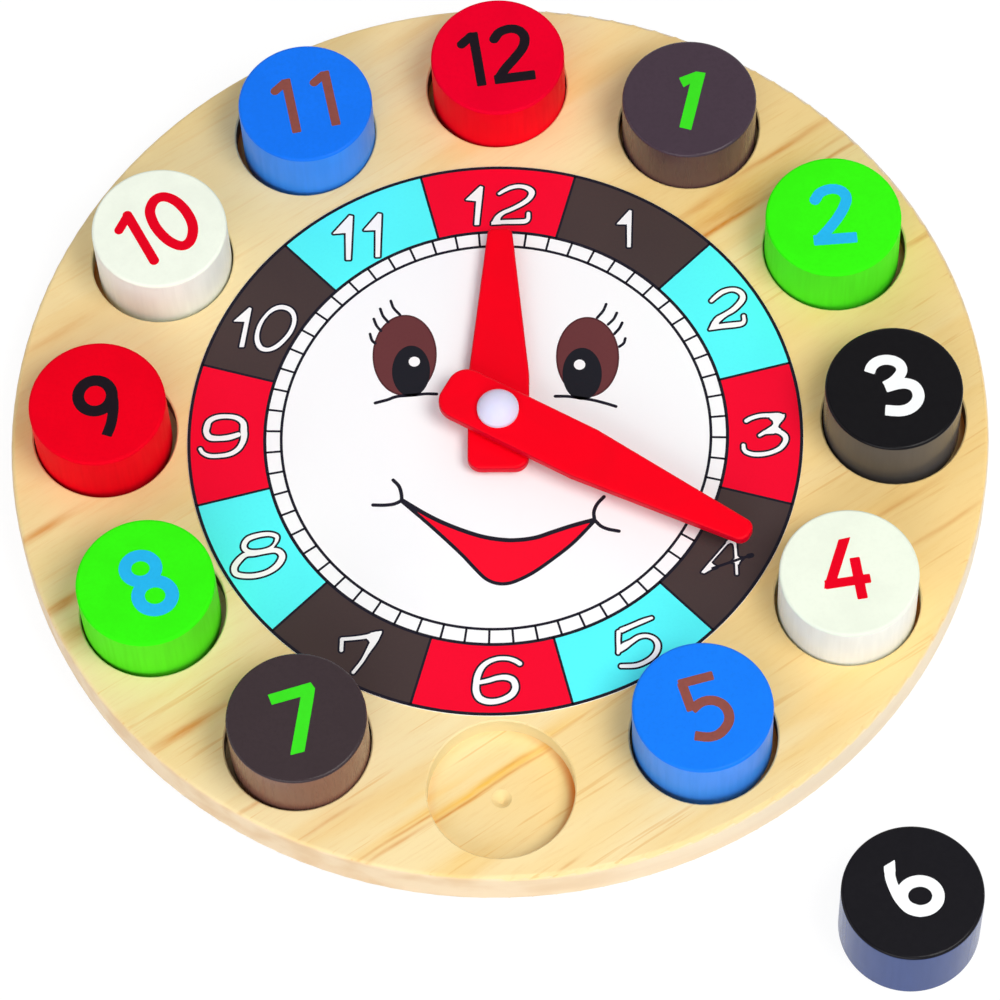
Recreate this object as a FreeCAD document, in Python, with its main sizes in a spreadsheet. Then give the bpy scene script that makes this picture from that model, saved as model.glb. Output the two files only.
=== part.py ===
"""Teaching clock: a round wooden board with a printed dial, two friction-held hands on a snap
rivet, and twelve loose number blocks, one of which stands on the table beside its socket.

Millimetres, +Z up. The origin is the centre of the board's underside, and +Y points at 12.
"""
import FreeCAD, Part
import math
import os
import Sketcher

SIZES = [
    # the board and its sockets
    ("board_radius", 120.0, "outer radius of the round board"),
    ("board_thickness", 12.5, "height of the board"),
    ("board_edge_round", 1.2, "rounding of the board's upper and lower rim"),
    ("hour_count", 12, "sockets around the board"),
    ("socket_circle_radius", 96.8, "centre of the board to the centre of a socket"),
    ("socket_depth", 6.0, "depth of a socket"),
    ("socket_clearance", 0.95, "radial gap between a block and its socket"),
    ("socket_rim_bevel", 0.35, "small bevel around a socket's mouth"),
    ("dimple_radius", 2.45, "mouth of the dimple that the drill's point leaves in a socket"),
    ("dimple_tip_radius", 0.5, "bottom of that dimple"),
    ("dimple_depth", 2.0, "depth of that dimple"),
    # the number blocks
    ("block_radius", 16.75, "radius of a number block"),
    ("block_height", 21.5, "height of a number block"),
    ("block_edge_round", 0.8, "rounding of a block's upper and lower edge"),
    ("spare_block_x", 95.9, "place of the block that stands on the table"),
    ("spare_block_y", -128.3, "place of the block that stands on the table"),
    # the printed dial
    ("label_radius", 75.6, "outer radius of the printed dial"),
    ("label_thickness", 0.3, "thickness of the dial's sheet"),
    ("label_shift_x", -1.0, "centre of the dial, which was stuck on a little off the pivot"),
    ("label_shift_y", -2.4, "centre of the dial, which was stuck on a little off the pivot"),
    # the snap rivet, from the back of the board to its cap
    ("shank_radius", 2.4, "radius of the rivet's shank"),
    ("shank_bevel", 0.5, "lead-in bevel at the end of the shank"),
    ("shank_end_gap", 0.3, "gap under the end of the shank"),
    ("barrel_clearance", 0.05, "radial gap between the shank and the rear barrel"),
    ("barrel_wall", 0.95, "wall of the rear barrel"),
    ("barrel_setback", 1.0, "top of the rear barrel below the board's face"),
    ("board_hole_clearance", 0.1, "radial gap between the barrel and the hole in the board"),
    ("flange_radius", 6.5, "radius of the rear flange"),
    ("flange_thickness", 1.8, "thickness of the rear flange"),
    ("flange_floor", 1.0, "closed bottom of the barrel, part of the flange"),
    ("back_washer_radius", 7.2, "radius of the washer under the rear flange"),
    ("back_washer_thickness", 1.0, "thickness of that washer"),
    ("counterbore_clearance", 0.8, "radial gap between that washer and its recess"),
    ("counterbore_depth", 3.5, "depth of the recess in the underside"),
    ("cap_radius", 5.1, "radius of the rivet's cap"),
    ("cap_wall_height", 1.0, "straight side of the cap"),
    ("cap_dome_height", 3.0, "height of the cap's dome"),
    # the washers and the hands
    ("spacer_radius", 5.5, "radius of the spacer that lifts the hands off the dial"),
    ("spacer_thickness", 1.4, "thickness of that spacer"),
    ("hand_washer_radius", 5.0, "radius of the washer between the hands"),
    ("hand_washer_thickness", 0.6, "thickness of that washer"),
    ("hand_gap", 0.1, "running gap on each side of a hand"),
    ("hand_bore_clearance", 0.08, "radial gap between the shank and what turns or sits on it"),
    ("hand_thickness", 3.0, "thickness of each hand"),
    ("hand_edge_round", 0.8, "rounding of a hand's long edges"),
    ("hour_half_width", 7.5, "half the width of the hour hand at the pivot"),
    ("hour_tail_reach", 14.0, "pivot to the end of the hour hand's tail"),
    ("hour_tail_round", 3.4, "rounding of that tail's corners"),
    ("hour_shoulder_reach", 12.0, "pivot to where the hour hand starts to taper"),
    ("hour_tip_reach", 53.0, "pivot to the end of the hour hand"),
    ("hour_tip_half_width", 3.0, "half the width of the hour hand's tip"),
    ("hour_tip_round", 1.6, "rounding of the hour hand's tip"),
    ("hour_hand_angle", 0.7, "where the hour hand points, clockwise from 12"),
    ("minute_half_width", 7.05, "half the width of the minute hand at the pivot"),
    ("minute_tail_reach", 14.8, "pivot to the end of the minute hand's tail"),
    ("minute_tail_round", 5.0, "rounding of that tail's corners"),
    ("minute_shoulder_reach", 24.0, "pivot to where the minute hand starts to taper"),
    ("minute_tip_reach", 69.8, "pivot to the end of the minute hand"),
    ("minute_tip_half_width", 2.85, "half the width of the minute hand's tip"),
    ("minute_tip_round", 2.6, "rounding of the minute hand's tip"),
    ("minute_hand_angle", 119.6, "where the minute hand points, clockwise from 12"),
]

# Each block lies a little to one side of its socket, as a hand drops it: across and up the
# board, as shares of the socket's radial gap.
BLOCK_LEAN = {
    1: (0.0, -0.8), 2: (-0.64, 0.17), 3: (-0.52, 0.6), 4: (-0.12, -0.37),
    5: (-0.37, 0.71), 7: (0.56, -0.44), 8: (-0.63, 0.19), 9: (-0.63, 0.17),
    10: (0.44, 0.37), 11: (0.8, 0.03), 12: (0.6, -0.52),
}
SPARE_HOUR = 6
FULL_TURN = 360.0
SAME = 1e-4

# Sizes and heights that are worked out from the driving ones.
SOCKET_RADIUS = "(Sizes.block_radius + Sizes.socket_clearance)"
SOCKET_FLOOR = "(Sizes.board_thickness - Sizes.socket_depth)"
BARREL_BORE = "(Sizes.shank_radius + Sizes.barrel_clearance)"
BARREL_RADIUS = "(Sizes.shank_radius + Sizes.barrel_clearance + Sizes.barrel_wall)"
BOARD_HOLE = f"({BARREL_RADIUS} + Sizes.board_hole_clearance)"
COUNTERBORE_RADIUS = "(Sizes.back_washer_radius + Sizes.counterbore_clearance)"
HAND_BORE = "(Sizes.shank_radius + Sizes.hand_bore_clearance)"
BACK_WASHER_Z = "(Sizes.counterbore_depth - Sizes.back_washer_thickness)"
FLANGE_Z = f"({BACK_WASHER_Z} - Sizes.flange_thickness)"
BARREL_TOP_Z = "(Sizes.board_thickness - Sizes.barrel_setback)"
SHANK_END_Z = f"({FLANGE_Z} + Sizes.flange_floor + Sizes.shank_end_gap)"
DIAL_Z = "(Sizes.board_thickness + Sizes.label_thickness)"
HOUR_HAND_Z = f"({DIAL_Z} + Sizes.spacer_thickness + Sizes.hand_gap)"
HAND_WASHER_Z = f"({HOUR_HAND_Z} + Sizes.hand_thickness + Sizes.hand_gap)"
MINUTE_HAND_Z = f"({HAND_WASHER_Z} + Sizes.hand_washer_thickness + Sizes.hand_gap)"
CAP_Z = f"({MINUTE_HAND_Z} + Sizes.hand_thickness + Sizes.hand_gap)"

doc = FreeCAD.newDocument("TeachingClock")


def make_sheet():
    """The driving dimensions, one row each: alias, value and meaning."""
    sheet = doc.addObject("Spreadsheet::Sheet", "Sizes")
    for row, (alias, value, meaning) in enumerate(SIZES, start=1):
        sheet.set(f"A{row}", alias)
        sheet.set(f"B{row}", str(value))
        sheet.set(f"C{row}", meaning)
        sheet.setAlias(f"B{row}", alias)
    doc.recompute()
    return sheet


sheet = make_sheet()


def value_of(expression):
    """The number that an expression over the sheet gives now."""
    return float(sheet.evalExpression(expression))


def make_body(label):
    """An empty body whose name and label are the piece's name."""
    body = doc.addObject("PartDesign::Body", label)
    body.Label = label
    return body


def origin_feature(body, role):
    """One of the body's own origin planes or axes."""
    return next(item for item in body.Origin.OriginFeatures if item.Role == role)


def sketch_on(body, name, role="XY_Plane", height=None):
    """An empty sketch on one of the body's origin planes, raised by an expression."""
    sketch = body.newObject("Sketcher::SketchObject", name)
    sketch.AttachmentSupport = (origin_feature(body, role), [""])
    sketch.MapMode = "FlatFace"
    if height:
        sketch.setExpression("AttachmentOffset.Base.z", height)
    return sketch


def constrain(sketch, name, expression, kind, *where):
    """A dimension that follows an expression over the sheet."""
    index = sketch.addConstraint(Sketcher.Constraint(kind, *where, value_of(expression)))
    sketch.renameConstraint(index, name)
    sketch.setExpression(f"Constraints.{name}", expression)


def add_circle(sketch, name, radius, y=None):
    """A circle on the sketch's origin, or up its vertical axis by y."""
    centre = FreeCAD.Vector(0, value_of(y) if y else 0, 0)
    axis = FreeCAD.Vector(0, 0, 1)
    circle = sketch.addGeometry(Part.Circle(centre, axis, value_of(radius)), False)
    if y:
        sketch.addConstraint(Sketcher.Constraint("PointOnObject", circle, 3, -2))
        constrain(sketch, f"{name}_y", y, "DistanceY", -1, 1, circle, 3)
    else:
        sketch.addConstraint(Sketcher.Constraint("Coincident", circle, 3, -1, 1))
    constrain(sketch, f"{name}_radius", radius, "Radius", circle)


def place_corner(sketch, edge, name, x, y):
    """Ties the start of an edge to expressions; x is None for a corner on the axis."""
    if x:
        constrain(sketch, f"{name}_x", x, "DistanceX", -1, 1, edge, 1)
    else:
        sketch.addConstraint(Sketcher.Constraint("PointOnObject", edge, 1, -2))
    constrain(sketch, f"{name}_y", y, "DistanceY", -1, 1, edge, 1)


def add_outline(sketch, corners):
    """A closed outline of straight edges through corners of (name, x, y) expressions."""
    points = [FreeCAD.Vector(value_of(x) if x else 0, value_of(y), 0) for _, x, y in corners]
    edges = []
    for here, there in zip(points, points[1:] + points[:1]):
        edges.append(sketch.addGeometry(Part.LineSegment(here, there), False))
    for edge, following in zip(edges, edges[1:] + edges[:1]):
        sketch.addConstraint(Sketcher.Constraint("Coincident", edge, 2, following, 1))
    for edge, (name, x, y) in zip(edges, corners):
        place_corner(sketch, edge, name, x, y)
    return edges


def pad(body, name, sketch, length):
    """Adds the sketch's area, upwards by an expression."""
    feature = body.newObject("PartDesign::Pad", name)
    feature.Profile = sketch
    feature.setExpression("Length", length)
    return feature


def pocket(body, name, sketch, length, upwards=False):
    """Cuts the sketch's area, downwards by an expression, or upwards."""
    feature = body.newObject("PartDesign::Pocket", name)
    feature.Profile = sketch
    feature.Reversed = upwards
    feature.setExpression("Length", length)
    return feature


def dress(body, kind, name, base, wanted, size):
    """A Fillet (Radius) or Chamfer (Size) on the edges of base that wanted accepts."""
    doc.recompute()
    names = [f"Edge{n}" for n, edge in enumerate(base.Shape.Edges, start=1) if wanted(edge)]
    feature = body.newObject(f"PartDesign::{kind}", name)
    feature.Base = (base, names)
    feature.setExpression("Radius" if kind == "Fillet" else "Size", size)
    return feature


def near(a, b):
    return abs(a - b) < SAME


def is_circle(edge, radius, heights):
    """True for a round edge of this radius that lies level at one of the heights."""
    if not hasattr(edge.Curve, "Radius") or not near(edge.Curve.Radius, radius):
        return False
    box = edge.BoundBox
    return any(near(box.ZMin, height) and near(box.ZMax, height) for height in heights)


def make_ring(label, inner, outer, thickness, z):
    """A flat ring or washer."""
    body = make_body(label)
    sketch = sketch_on(body, f"{label}_sketch", height=z)
    add_circle(sketch, "outer", outer)
    add_circle(sketch, "inner", inner)
    pad(body, f"{label}_pad", sketch, thickness)
    return body


def make_board():
    """The wooden board: twelve blind sockets, the pivot's hole and its recess behind."""
    body = make_body("clock_board")
    disc_sketch = sketch_on(body, "board_sketch")
    add_circle(disc_sketch, "board", "Sizes.board_radius")
    disc = pad(body, "board_disc", disc_sketch, "Sizes.board_thickness")

    top = value_of("Sizes.board_thickness")
    radius = value_of("Sizes.board_radius")
    dress(body, "Fillet", "board_rims", disc, lambda edge: is_circle(edge, radius, (0.0, top)),
          "Sizes.board_edge_round")

    socket_sketch = sketch_on(body, "socket_sketch", height="Sizes.board_thickness")
    add_circle(socket_sketch, "socket", SOCKET_RADIUS, y="Sizes.socket_circle_radius")
    socket = pocket(body, "socket", socket_sketch, "Sizes.socket_depth")

    dimple = body.newObject("PartDesign::SubtractiveCone", "dimple")
    dimple.AttachmentSupport = (origin_feature(body, "XY_Plane"), [""])
    dimple.MapMode = "FlatFace"
    dimple.setExpression("AttachmentOffset.Base.y", "Sizes.socket_circle_radius")
    dimple.setExpression("AttachmentOffset.Base.z", f"{SOCKET_FLOOR} - Sizes.dimple_depth")
    dimple.setExpression("Radius1", "Sizes.dimple_tip_radius")
    dimple.setExpression("Radius2", "Sizes.dimple_radius")
    dimple.setExpression("Height", "Sizes.dimple_depth")

    sockets = body.newObject("PartDesign::PolarPattern", "sockets")
    sockets.Originals = [socket, dimple]
    sockets.Axis = (origin_feature(body, "Z_Axis"), [""])
    sockets.Angle = FULL_TURN
    sockets.setExpression("Occurrences", "Sizes.hour_count")
    body.Tip = sockets

    mouth = value_of(SOCKET_RADIUS)
    dress(body, "Chamfer", "socket_rims", sockets, lambda edge: is_circle(edge, mouth, (top,)),
          "Sizes.socket_rim_bevel")

    hole_sketch = sketch_on(body, "pivot_hole_sketch", height="Sizes.board_thickness")
    add_circle(hole_sketch, "hole", BOARD_HOLE)
    pocket(body, "pivot_hole", hole_sketch, "Sizes.board_thickness")

    recess_sketch = sketch_on(body, "recess_sketch")
    add_circle(recess_sketch, "recess", COUNTERBORE_RADIUS)
    pocket(body, "recess", recess_sketch, "Sizes.counterbore_depth", upwards=True)
    return body


def make_dial():
    """The printed sheet on the board, centred a little off the pivot, with its hole on it."""
    body = make_body("dial_label")
    sketch = sketch_on(body, "dial_sketch", height="Sizes.board_thickness")
    disc = sketch.addGeometry(
        Part.Circle(FreeCAD.Vector(value_of("Sizes.label_shift_x"), value_of("Sizes.label_shift_y"), 0),
                    FreeCAD.Vector(0, 0, 1), value_of("Sizes.label_radius")), False)
    constrain(sketch, "shift_x", "Sizes.label_shift_x", "DistanceX", -1, 1, disc, 3)
    constrain(sketch, "shift_y", "Sizes.label_shift_y", "DistanceY", -1, 1, disc, 3)
    constrain(sketch, "dial_radius", "Sizes.label_radius", "Radius", disc)
    add_circle(sketch, "hole", BOARD_HOLE)
    pad(body, "dial_sheet", sketch, "Sizes.label_thickness")
    return body


def make_block(hour):
    """A number block, in its socket or on the table beside the board."""
    label = f"number_block_{hour:02d}"
    body = make_body(label)
    sketch = sketch_on(body, f"{label}_sketch")
    add_circle(sketch, "block", "Sizes.block_radius")
    solid = pad(body, f"{label}_pad", sketch, "Sizes.block_height")
    radius = value_of("Sizes.block_radius")
    ends = (0.0, value_of("Sizes.block_height"))
    dress(body, "Fillet", f"{label}_edges", solid, lambda edge: is_circle(edge, radius, ends),
          "Sizes.block_edge_round")
    if hour == SPARE_HOUR:
        body.setExpression("Placement.Base.x", "Sizes.spare_block_x")
        body.setExpression("Placement.Base.y", "Sizes.spare_block_y")
        return body
    across, up = BLOCK_LEAN[hour]
    turn = f"({FULL_TURN} deg * {hour} / Sizes.hour_count)"
    body.setExpression("Placement.Base.x", f"Sizes.socket_circle_radius * sin{turn}"
                                           f" + Sizes.socket_clearance * {across}")
    body.setExpression("Placement.Base.y", f"Sizes.socket_circle_radius * cos{turn}"
                                           f" + Sizes.socket_clearance * {up}")
    body.setExpression("Placement.Base.z", SOCKET_FLOOR)
    return body


def make_hand(label, prefix, z):
    """A flat hand: a parallel tail and hub, then a straight taper to a rounded tip."""
    body = make_body(label)
    half, tail = f"Sizes.{prefix}_half_width", f"-Sizes.{prefix}_tail_reach"
    shoulder = f"Sizes.{prefix}_shoulder_reach"
    tip, tip_half = f"Sizes.{prefix}_tip_reach", f"Sizes.{prefix}_tip_half_width"
    sketch = sketch_on(body, f"{label}_sketch")
    add_outline(sketch, [
        ("tail_right", half, tail), ("shoulder_right", half, shoulder), ("tip_right", tip_half, tip),
        ("tip_left", f"-{tip_half}", tip), ("shoulder_left", f"-{half}", shoulder),
        ("tail_left", f"-{half}", tail),
    ])
    add_circle(sketch, "bore", HAND_BORE)
    plate = pad(body, f"{label}_plate", sketch, "Sizes.hand_thickness")

    def upright_at(y):
        def test(edge):
            box = edge.BoundBox
            return near(box.YMin, y) and near(box.YMax, y) and near(box.XMin, box.XMax)
        return test

    tail_round = dress(body, "Fillet", f"{label}_tail_corners", plate, upright_at(value_of(tail)),
                       f"Sizes.{prefix}_tail_round")
    tip_round = dress(body, "Fillet", f"{label}_tip_corners", tail_round, upright_at(value_of(tip)),
                      f"Sizes.{prefix}_tip_round")
    bore = value_of(HAND_BORE)
    thickness = value_of("Sizes.hand_thickness")

    def outer_rim(edge):
        box = edge.BoundBox
        level = near(box.ZMin, box.ZMax) and (near(box.ZMin, 0.0) or near(box.ZMin, thickness))
        return level and not is_circle(edge, bore, (0.0, thickness))

    dress(body, "Fillet", f"{label}_soft_edges", tip_round, outer_rim, "Sizes.hand_edge_round")
    body.Placement = FreeCAD.Placement(FreeCAD.Vector(), FreeCAD.Rotation(FreeCAD.Vector(0, 0, -1), 1.0))
    body.setExpression("Placement.Rotation.Angle", f"Sizes.{prefix}_hand_angle")
    body.setExpression("Placement.Base.z", z)
    return body


def make_rivet():
    """The front half of the snap rivet: a domed cap on a bevelled shank."""
    body = make_body("pivot_rivet")
    sketch = sketch_on(body, "rivet_sketch", role="XZ_Plane")
    shoulder_z = f"{CAP_Z} + Sizes.cap_wall_height"
    top_z = f"{shoulder_z} + Sizes.cap_dome_height"
    edges = add_outline(sketch, [
        ("axis_top", None, top_z),
        ("axis_end", None, SHANK_END_Z),
        ("bevel_in", "Sizes.shank_radius - Sizes.shank_bevel", SHANK_END_Z),
        ("bevel_out", "Sizes.shank_radius", f"{SHANK_END_Z} + Sizes.shank_bevel"),
        ("under_cap", "Sizes.shank_radius", CAP_Z),
        ("cap_rim", "Sizes.cap_radius", CAP_Z),
        ("cap_shoulder", "Sizes.cap_radius", shoulder_z),
    ])
    rim = value_of("Sizes.cap_radius")
    rise = value_of("Sizes.cap_dome_height")
    sphere = (rim * rim + rise * rise) / (2 * rise)
    centre = FreeCAD.Vector(0, value_of(top_z) - sphere, 0)
    slope = math.asin((sphere - rise) / sphere)
    dome = sketch.addGeometry(
        Part.ArcOfCircle(Part.Circle(centre, FreeCAD.Vector(0, 0, 1), sphere), slope, math.pi / 2), False)
    sketch.toggleConstruction(edges[-1])
    sketch.addConstraint(Sketcher.Constraint("Coincident", dome, 1, edges[-1], 1))
    sketch.addConstraint(Sketcher.Constraint("Coincident", dome, 2, edges[0], 1))
    sketch.addConstraint(Sketcher.Constraint("PointOnObject", dome, 3, -2))
    revolve(body, "rivet_turned", sketch)
    return body


def make_rivet_socket():
    """The rear half of the snap rivet: a flange with a blind barrel that grips the shank."""
    body = make_body("rivet_socket")
    sketch = sketch_on(body, "rivet_socket_sketch", role="XZ_Plane")
    floor_z = f"{FLANGE_Z} + Sizes.flange_floor"
    add_outline(sketch, [
        ("axis_low", None, FLANGE_Z),
        ("flange_low", "Sizes.flange_radius", FLANGE_Z),
        ("flange_high", "Sizes.flange_radius", BACK_WASHER_Z),
        ("barrel_low", BARREL_RADIUS, BACK_WASHER_Z),
        ("barrel_high", BARREL_RADIUS, BARREL_TOP_Z),
        ("bore_high", BARREL_BORE, BARREL_TOP_Z),
        ("bore_low", BARREL_BORE, floor_z),
        ("axis_floor", None, floor_z),
    ])
    revolve(body, "rivet_socket_turned", sketch)
    return body


def revolve(body, name, sketch):
    """A full turn of the sketch about its vertical axis."""
    feature = body.newObject("PartDesign::Revolution", name)
    feature.Profile = sketch
    feature.ReferenceAxis = (sketch, ["V_Axis"])
    feature.Angle = FULL_TURN
    return feature


def make_pieces():
    """Every piece, in the order in which the clock is put together."""
    hours = range(1, int(value_of("Sizes.hour_count")) + 1)
    return [
        make_board(),
        make_dial(),
        make_rivet_socket(),
        make_ring("back_washer", BOARD_HOLE, "Sizes.back_washer_radius",
                  "Sizes.back_washer_thickness", BACK_WASHER_Z),
        make_ring("dial_spacer", HAND_BORE, "Sizes.spacer_radius", "Sizes.spacer_thickness", DIAL_Z),
        make_hand("hour_hand", "hour", HOUR_HAND_Z),
        make_ring("hand_washer", HAND_BORE, "Sizes.hand_washer_radius",
                  "Sizes.hand_washer_thickness", HAND_WASHER_Z),
        make_hand("minute_hand", "minute", MINUTE_HAND_Z),
        make_rivet(),
    ] + [make_block(hour) for hour in hours]


def check(pieces):
    """Stops before anything is written if an object failed or a piece is no valid solid."""
    doc.recompute()
    for item in doc.Objects:
        if "Invalid" in item.State or "Error" in item.State:
            raise RuntimeError(f"{item.Label} failed: {item.State}")
    for piece in pieces:
        shape = piece.Shape
        if shape.isNull() or not shape.isValid() or len(shape.Solids) != 1:
            raise RuntimeError(f"{piece.Label} is not one valid solid")


def write(pieces):
    """One STEP file per piece, named after it."""
    os.makedirs("parts", exist_ok=True)
    for piece in pieces:
        piece.Shape.exportStep(f"parts/{piece.Label}.step")
        print(f"{piece.Label}: {piece.Shape.Volume:.1f} mm3")


pieces = make_pieces()
check(pieces)
write(pieces)
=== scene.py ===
"""The looks of the teaching clock: pine, paint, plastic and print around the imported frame.

Everything sits in the frame's own axes, in metres. Drawings are given in millimetres, from the
centre of the dial or of the block that they are printed on, and turned into metres by MM.
"""
import math

import bmesh
import bpy
import numpy as np
from mathutils import Matrix, Vector
from mathutils.geometry import delaunay_2d_cdt


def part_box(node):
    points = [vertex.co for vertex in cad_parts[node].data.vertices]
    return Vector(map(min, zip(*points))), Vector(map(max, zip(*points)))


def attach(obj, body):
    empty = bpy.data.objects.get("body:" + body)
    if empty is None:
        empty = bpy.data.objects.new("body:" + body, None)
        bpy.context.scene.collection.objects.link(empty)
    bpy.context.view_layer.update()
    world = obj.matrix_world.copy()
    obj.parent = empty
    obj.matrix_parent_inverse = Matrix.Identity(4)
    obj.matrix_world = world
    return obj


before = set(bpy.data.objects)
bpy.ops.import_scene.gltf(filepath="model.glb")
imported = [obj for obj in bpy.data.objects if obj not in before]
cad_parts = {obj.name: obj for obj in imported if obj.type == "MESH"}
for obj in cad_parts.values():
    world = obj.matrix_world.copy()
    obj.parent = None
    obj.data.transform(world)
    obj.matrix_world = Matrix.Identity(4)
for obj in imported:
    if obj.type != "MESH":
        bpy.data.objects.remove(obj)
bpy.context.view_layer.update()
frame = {"nodes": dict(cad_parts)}

MM = 0.001
HOURS = 12
MINUTES = 60

# How a drawing is cut out of its grid; lengths are in mm.
FAR = 1e3                     # a distance larger than any drawing
CUT_STEP = 0.1                # size of a grid cell
WELD = 0.004                  # points nearer than this become one
CUT_SNAP = 1e-6               # corners of the grid this near the cut lie on it
STRAIGHT = math.radians(0.6)  # bends smaller than this are straightened
BOX_MARGIN = 0.6              # how far a drawing is looked for outside its points
SPAN_STEPS = 8                # straight pieces between two chosen points of a stroke
LOOP_POINTS = 12              # chosen points of a round stroke
ARC_STEP = 1.5                # degrees between the points of a ring
CORNER_SOFTNESS = 0.35        # how much a stroke's flat end is rounded at its corners
CORNER_REACH = 1.2            # how far from a flat end it is cut square, in half widths
FILL_SOFTNESS = 0.12          # how much the corners of a filled outline are rounded

# Heights of the print above the sheet or block that carries it, in mm.
SUNK = -0.01
COLOUR_TOP = 0.02
INK_TOP = 0.035
WHITE_TOP = 0.05
OVER_WHITE = 0.07


# ---- Objects and meshes ----


def add_object(name, data):
    """A new object in the scene."""
    made = bpy.data.objects.new(name, data)
    bpy.context.scene.collection.objects.link(made)
    return made


def add_mesh(name, points, faces, material):
    """A new object with a mesh of its own."""
    mesh = bpy.data.meshes.new(name)
    mesh.from_pydata(points, [], faces)
    mesh.materials.append(material)
    return add_object(name, mesh)


def middle_of(name):
    """The middle of a node, seen from above, in mm."""
    low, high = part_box(name)
    return (low.x + high.x) / 2 / MM, (low.y + high.y) / 2 / MM


# ---- Drawing: areas given by their signed distance, cut out as thin closed films ----


class Shape:
    """A drawn area: distance(x, y) is negative inside it, and box is where it lies."""

    def __init__(self, distance, points, margin):
        points = np.array(points, float)
        self.distance = distance
        self.box = (*(points.min(0)[:2] - margin), *(points.max(0)[:2] + margin))


def smooth_line(points, closed=False):
    """A Catmull-Rom line through rows of (x, y, half-width)."""
    rows = np.array(points, float)
    if closed:
        rows = np.vstack([rows[-1:], rows, rows[:2]])
    else:
        rows = np.vstack([2 * rows[0] - rows[1], rows, 2 * rows[-1] - rows[-2]])
    t = np.linspace(0, 1, SPAN_STEPS, endpoint=False)[:, None]
    spans = []
    for a, b, c, d in zip(rows, rows[1:], rows[2:], rows[3:]):
        spans.append(b + 0.5 * ((c - a) * t + (2 * a - 5 * b + 4 * c - d) * t ** 2
                                + (3 * b - a - 3 * c + d) * t ** 3))
    spans.append(rows[-2][None])
    return np.vstack(spans)


def soft_max(a, b, softness):
    """The larger of two distances, with the corner between them rounded off."""
    overlap = np.maximum(softness - np.abs(a - b), 0) / softness
    return np.maximum(a, b) + overlap ** 2 * softness / 4


def stroke(points, half=None, closed=False, flat=(False, False)):
    """A pen stroke through (x, y, half-width) points, or (x, y) points of one half-width.

    flat says whether its start and its end are cut square instead of round.
    """
    rows = [(x, y, half) if half else (x, y, w) for x, y, *rest in points for w in (rest or [half])]
    line = smooth_line(rows, closed)
    lengths = np.hypot(*(line[1:] - line[:-1])[:, :2].T)
    reached = np.concatenate([[0], np.cumsum(lengths)])
    ends = []
    for is_flat, tip, inner, from_tip in ((flat[0], line[0], line[1], reached[:-1]),
                                          (flat[1], line[-1], line[-2], reached[-1] - reached[1:])):
        if is_flat:
            way = (tip - inner)[:2] / np.hypot(*(tip - inner)[:2])
            ends.append((tip, way, from_tip < CORNER_REACH * tip[2]))

    def distance(x, y):
        nearest = np.full(x.shape, FAR)
        for index, ((ax, ay, ah), (bx, by, bh)) in enumerate(zip(line, line[1:])):
            dx, dy = bx - ax, by - ay
            along = np.clip(((x - ax) * dx + (y - ay) * dy) / (dx * dx + dy * dy), 0, 1)
            here = np.hypot(x - ax - along * dx, y - ay - along * dy) - ah - along * (bh - ah)
            for tip, way, is_near in ends:
                if is_near[index]:
                    past = (x - tip[0]) * way[0] + (y - tip[1]) * way[1]
                    here = soft_max(here, past, CORNER_SOFTNESS)
            nearest = np.minimum(nearest, here)
        return nearest

    return Shape(distance, rows, max(row[2] for row in rows) + BOX_MARGIN)


def fill(points, softness=FILL_SOFTNESS):
    """The area inside a closed outline of (x, y) points."""
    corners = np.array(points, float)[:, :2]

    def distance(x, y):
        nearest = np.full(x.shape, FAR)
        inside = np.zeros(x.shape, bool)
        for (ax, ay), (bx, by) in zip(corners, np.roll(corners, -1, 0)):
            dx, dy = bx - ax, by - ay
            along = np.clip(((x - ax) * dx + (y - ay) * dy) / (dx * dx + dy * dy), 0, 1)
            nearest = np.minimum(nearest, np.hypot(x - ax - along * dx, y - ay - along * dy))
            if dy:
                inside ^= ((ay > y) != (by > y)) & (x < ax + (y - ay) * dx / dy)
        return np.where(inside, -nearest, nearest) - softness

    return Shape(distance, corners, softness + BOX_MARGIN)


def ellipse(x0, y0, across, up):
    """A level ellipse with these half axes."""

    def distance(x, y):
        ratio = np.hypot((x - x0) / across, (y - y0) / up) + 1e-9
        slope = np.hypot((x - x0) / across ** 2, (y - y0) / up ** 2) + 1e-9
        return ratio * (ratio - 1) / slope

    return Shape(distance, [(x0 - across, y0 - up), (x0 + across, y0 + up)], BOX_MARGIN)


def lift_of(shapes, x, y, grow):
    """The signed distance of the union of shapes, grown by grow, at points of a grid or list."""
    lift = np.full(x.shape, FAR)
    for shape in shapes:
        left, low, right, high = shape.box
        near = (x > left - grow) & (x < right + grow) & (y > low - grow) & (y < high + grow)
        lift[near] = np.minimum(lift[near], shape.distance(x[near], y[near]) - grow)
    return lift


def contour(points, quads):
    """The closed lines where a lifted grid crosses zero, as 2D points and edges."""
    grid = bpy.data.meshes.new("grid")
    grid.from_pydata(points, [], quads)
    cut = bmesh.new()
    cut.from_mesh(grid)
    bpy.data.meshes.remove(grid)
    bmesh.ops.bisect_plane(cut, geom=cut.verts[:] + cut.edges[:] + cut.faces[:], dist=CUT_SNAP,
                           plane_co=(0, 0, 0), plane_no=(0, 0, 1), clear_outer=True)
    for vertex in cut.verts:
        vertex.co.z = 0
    bmesh.ops.remove_doubles(cut, verts=cut.verts[:], dist=WELD)
    bmesh.ops.delete(cut, geom=[edge for edge in cut.edges if not edge.is_boundary], context="EDGES")
    bmesh.ops.dissolve_limit(cut, angle_limit=STRAIGHT, verts=cut.verts[:], edges=cut.edges[:])
    place = {}
    edges = [[place.setdefault(vertex, len(place)) for vertex in edge.verts] for edge in cut.edges]
    points = [vertex.co.xy.copy() for vertex in place]
    cut.free()
    return points, edges


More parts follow.
